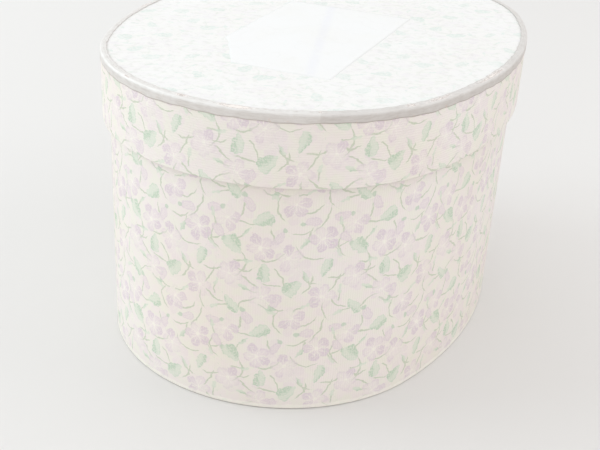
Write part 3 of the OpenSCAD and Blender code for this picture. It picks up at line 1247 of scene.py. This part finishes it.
class MakeEdgeBinding(bpy.types.Operator):
    """Folds the silver-grey paper strip over the lid's top edge"""

    bl_idname = "violet_box.edge_binding"
    bl_label = "Edge binding"

    # Where the strip is worn through: degrees of the normal, width along it in millimetres,
    # share of the way across it from the side to the top, and strength
    WORN = (
        (278, 7.5, 0.78, 1.1), (262, 5.0, 0.85, 0.58), (241, 4.0, 0.65, 0.55),
        (300, 1.2, 0.85, 0.60), (326, 4.0, 0.80, 0.62), (337, 12.0, 0.78, 0.60),
        (350, 20.0, 0.78, 0.66),
        (20, 5.0, 0.5, 0.5), (75, 7.0, 0.7, 0.6), (130, 4.0, 0.6, 0.5), (185, 6.0, 0.8, 0.55),
    )
    # The second of the two strips, from one overlap to the other, in degrees of the normal
    SECOND = (300, 482)

    COLUMNS = 1100

    def execute(self, context):
        silver = silver_finish()
        placed(self.strip(), "lid", silver, "silver_binding", "lid_edge_binding")
        tucks = self.tucks(silver)
        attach(tucks, "lid")
        return {"FINISHED"}

    def strip(self):
        """The folded strip, with its wear and its overlap stored on its points."""
        size = sizes()
        corners = [(0.0, BINDING_FOOT, 0), (0.0, TOP, size.edge_round), (BINDING_REACH, TOP, 0)]
        path = refined(rounded(corners, steps=8), 0.5 * MM)
        across = np.concatenate([np.linspace(0, 1, len(path)), np.linspace(1, 0, len(path))])
        made = hoop(
            "edge_binding", folded(path, size.binding), 0.0, self.COLUMNS, self.pasted(across))
        angle, length = Oval(size.end_radius).spaced(self.COLUMNS, 0.0)
        number_layer(made, "wear", self.wear(across, angle, length))
        number_layer(made, "below", np.tile(1 - across, (self.COLUMNS, 1)))
        first, last = (self.unrolled(turn, angle) for turn in self.SECOND)
        turns = angle[:-1, None]
        past, short = turns > first, turns < last
        second = past & short if first < last else past | short
        number_layer(made, "second", np.tile(second, (1, len(across))).astype(float))
        return made

    @staticmethod
    def pasted(share):
        """A drape for a strip cut by hand and pasted down with small dents and creases."""
        whole = girth(0)
        lower, upper = wave(21, whole, (70, 31, 12)), wave(22, whole, (55, 24, 9, 6))
        dents, creases = wave(23, whole, (18, 9, 6)), wave(24, whole, (7, 4.5, 3.1))

        def drape(along, inset, height):
            height = height + lower(along) * 0.45 * MM * np.clip(1 - share / 0.35, 0, 1)
            inset = inset + upper(along) * 0.45 * MM * np.clip((share - 0.72) / 0.28, 0, 1)
            sink = (dents(along) * 0.5 + creases(along + share * 9) * 0.5 + 1) * 0.5
            sink = sink * 0.20 * MM * np.clip(1.6 - np.abs(share - 0.5) * 2.4, 0, 1)
            return inset + sink * (1 - share), height - sink * share

        return drape

    def wear(self, across, angle, length):
        """How worn each point is, from 0 to about 1."""
        wear = np.zeros((self.COLUMNS, len(across)))
        where, whole = length[:-1] / MM, length[-1] / MM
        for turn, wide, centre, strength in self.WORN:
            middle = np.interp(self.unrolled(turn, angle), angle, length) / MM
            gap = np.abs(where - middle)
            gap = np.minimum(gap, whole - gap)
            spot = np.exp(-(gap / wide) ** 2)[:, None] * np.exp(-((across - centre) / 0.22) ** 2)
            wear = np.maximum(wear, spot * strength)
        return wear

    @staticmethod
    def tucks(silver):
        """The small tucks along the strip's inner edge."""
        oval = Oval(sizes().end_radius)
        turns, _ = oval.spaced(512, BINDING_REACH)
        x, y = oval.at(turns[:-1], BINDING_REACH - 1.3 * MM)
        ring = [(a, b, TOP - 0.06 * MM) for a, b in zip(x, y)]
        mesh = bpy.data.meshes.new("binding_tucks")
        mesh.from_pydata(ring, [(i, (i + 1) % len(ring)) for i in range(len(ring))], [])
        return grown(
            linked("binding_tucks", mesh), pleat_tree(), tuck_spacing=3.1 * MM,
            tuck_length=2.2 * MM, tuck_width=0.45 * MM, seed=7, paper=silver)

    @staticmethod
    def unrolled(degrees, angle):
        """An angle in degrees as radians within one turn that starts where the hoop starts."""
        start = angle[0]
        return start + (math.radians(degrees) - start) % (2 * math.pi)


class MakeLabel(bpy.types.Operator):
    """Pastes the white paper label on the lid, one corner torn off"""

    bl_idname = "violet_box.label"
    bl_label = "Label"

    def execute(self, context):
        low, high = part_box("lid_label")
        rows, columns = 78, 52
        tear_wide, tear_long = 20 * MM, 34 * MM
        random = np.random.default_rng(5)
        ragged = np.interp(np.arange(rows), np.arange(0, rows, 2), random.uniform(-1, 1, rows // 2))
        grid = np.zeros((rows, columns, 3))
        for j in range(rows):
            y = low.y + (high.y - low.y) * j / (rows - 1)
            torn = max(0.0, 1 - (y - low.y) / tear_long)
            left = low.x + tear_wide * torn ** 0.85 + (ragged[j] * 0.5 * MM if torn else 0)
            x = np.linspace(left, high.x, columns)
            grid[j] = np.column_stack([x, np.full(columns, y), np.zeros(columns)])
        step = [np.minimum(np.arange(n), np.arange(n)[::-1]) for n in (rows, columns)]
        edge = np.clip(1 - np.minimum.outer(*step) / 7, 0, 1) ** 1.5
        x, y = grid[..., 0] / MM, grid[..., 1] / MM
        bubbles = np.sin(x * 0.21 + np.sin(y * 0.13) * 1.5) * np.sin(y * 0.11 + 0.6)
        raised = (0.12 + 0.04 * bubbles) * (1 - 0.9 * edge) * MM
        grid[..., 2] = TOP_PAPER_HIGH - sunk(grid) + raised
        made = slab("paper_label", grid, 0.11 * MM)
        placed(made, "lid", label_finish(), "label_paper", "lid_label")
        return {"FINISHED"}


class FinishBoards(bpy.types.Operator):
    """Gives the boards and joining tapes their materials"""

    bl_idname = "violet_box.boards"
    bl_label = "Boards and tapes"

    def execute(self, context):
        board, tape = board_finish(), tape_finish()
        for name in ("body_wall", "base_board", "lid_wall", "lid_board"):
            paint(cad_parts[name], board)
        for name in ("body_seam_tape", "body_corner_tape", "lid_seam_tape", "lid_corner_tape"):
            paint(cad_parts[name], tape)
        return {"FINISHED"}


def paint(node, material):
    """Gives a CAD node one material."""
    node.data.materials.clear()
    node.data.materials.append(material)


class MakeStage(bpy.types.Operator):
    """Adds the floor, the lights and the camera"""

    bl_idname = "violet_box.stage"
    bl_label = "Stage"

    FLOOR_RADIUS = 9.0
    # Name, place, size, power and colour of each light
    LIGHTS = (
        ("window", (-1.0, 0.8, 1.5), 1.6, 2.6, (0.95, 0.985, 1.0)),
        ("side", (-1.7, -0.5, 0.7), 1.4, 13.5, (0.83, 0.96, 1.0)),
        ("fill", (0.9, -1.7, 0.8), 1.4, 3.0, (1.0, 0.97, 0.95)),
        ("right", (1.5, 0.6, 1.0), 1.4, 4.6, (1.0, 0.985, 0.97)),
    )
    LIGHTS_AIM = (0, 0, 0.08)
    SKY_COLOUR, SKY_STRENGTH = (1.0, 0.995, 0.99, 1), 0.925
    CAMERA_PLACE, CAMERA_AIM = (0.1804, -0.4776, 0.2905), (-0.00735, -0.0028, 0.033)
    CAMERA_ROLL, CAMERA_LENS = 3.3, 60.46

    def execute(self, context):
        scene = context.scene
        count = 96
        turns = [2 * math.pi * k / count for k in range(count)]
        rim = [(self.FLOOR_RADIUS * math.cos(a), self.FLOOR_RADIUS * math.sin(a), 0.0) for a in turns]
        floor = make_mesh("floor", rim, [list(range(count))])
        floor.location.z = -0.02 * MM
        floor.data.materials.append(floor_finish())

        for name, place, size, power, tone in self.LIGHTS:
            lamp = bpy.data.lights.new(name, "AREA")
            lamp.shape = "SQUARE"
            lamp.size, lamp.energy, lamp.color = size, power, tone
            aimed(linked(name, lamp), place, self.LIGHTS_AIM)
        world = bpy.data.worlds.new("studio")
        world.use_nodes = True
        sky = world.node_tree.nodes["Background"]
        sky.inputs["Color"].default_value = self.SKY_COLOUR
        sky.inputs["Strength"].default_value = self.SKY_STRENGTH
        scene.world = world

        camera = bpy.data.cameras.new("camera")
        camera.lens = self.CAMERA_LENS
        camera.sensor_width = 36.0
        camera.clip_start = 0.01
        scene.camera = linked("camera", camera)
        aimed(scene.camera, self.CAMERA_PLACE, self.CAMERA_AIM, self.CAMERA_ROLL)
        scene.view_settings.view_transform = "Standard"
        scene.view_settings.look = "None"
        return {"FINISHED"}


def aimed(made, place, aim, roll=0.0):
    """Puts a light or the camera at a place, facing another and rolled some degrees."""
    made.location = place
    made.rotation_mode = "QUATERNION"
    look = (Vector(aim) - Vector(place)).to_track_quat("-Z", "Y")
    made.rotation_quaternion = look @ Matrix.Rotation(math.radians(roll), 3, "Z").to_quaternion()


OPERATORS = (
    FinishBoards, MakeBaseCover, MakeBodyCover, MakeBodyLinings, MakeLidCovers, MakeLidLinings,
    MakeEdgeBinding, MakeLabel, MakeStage,
)


class BoxPanel(bpy.types.Panel):
    """Lists the settings and the pieces."""

    bl_idname = "VIEW3D_PT_violet_box"
    bl_label = "Violet paper box"
    bl_space_type = "VIEW_3D"
    bl_region_type = "UI"
    bl_category = "Box"

    def draw(self, context):
        settings = context.scene.violet_box
        for group in (settings.sizes, settings.colours):
            column = self.layout.column()
            for name in group.__annotations__:
                column.prop(group, name)
        self.layout.prop(settings, "columns")
        for operator in OPERATORS:
            self.layout.operator(operator.bl_idname)


CLASSES = (BoxSizes, BoxColours, BoxSettings, *OPERATORS, BoxPanel)


def register():
    """Registers the classes and the scene's settings."""
    for cls in CLASSES:
        bpy.utils.register_class(cls)
    bpy.types.Scene.violet_box = PointerProperty(type=BoxSettings)


def unregister():
    """Removes the classes and the scene's settings."""
    del bpy.types.Scene.violet_box
    for cls in reversed(CLASSES):
        bpy.utils.unregister_class(cls)


def main():
    """Builds every piece."""
    register()
    for operator in OPERATORS:
        group, name = operator.bl_idname.split(".")
        getattr(getattr(bpy.ops, group), name)()


if __name__ == "__main__":
    main()
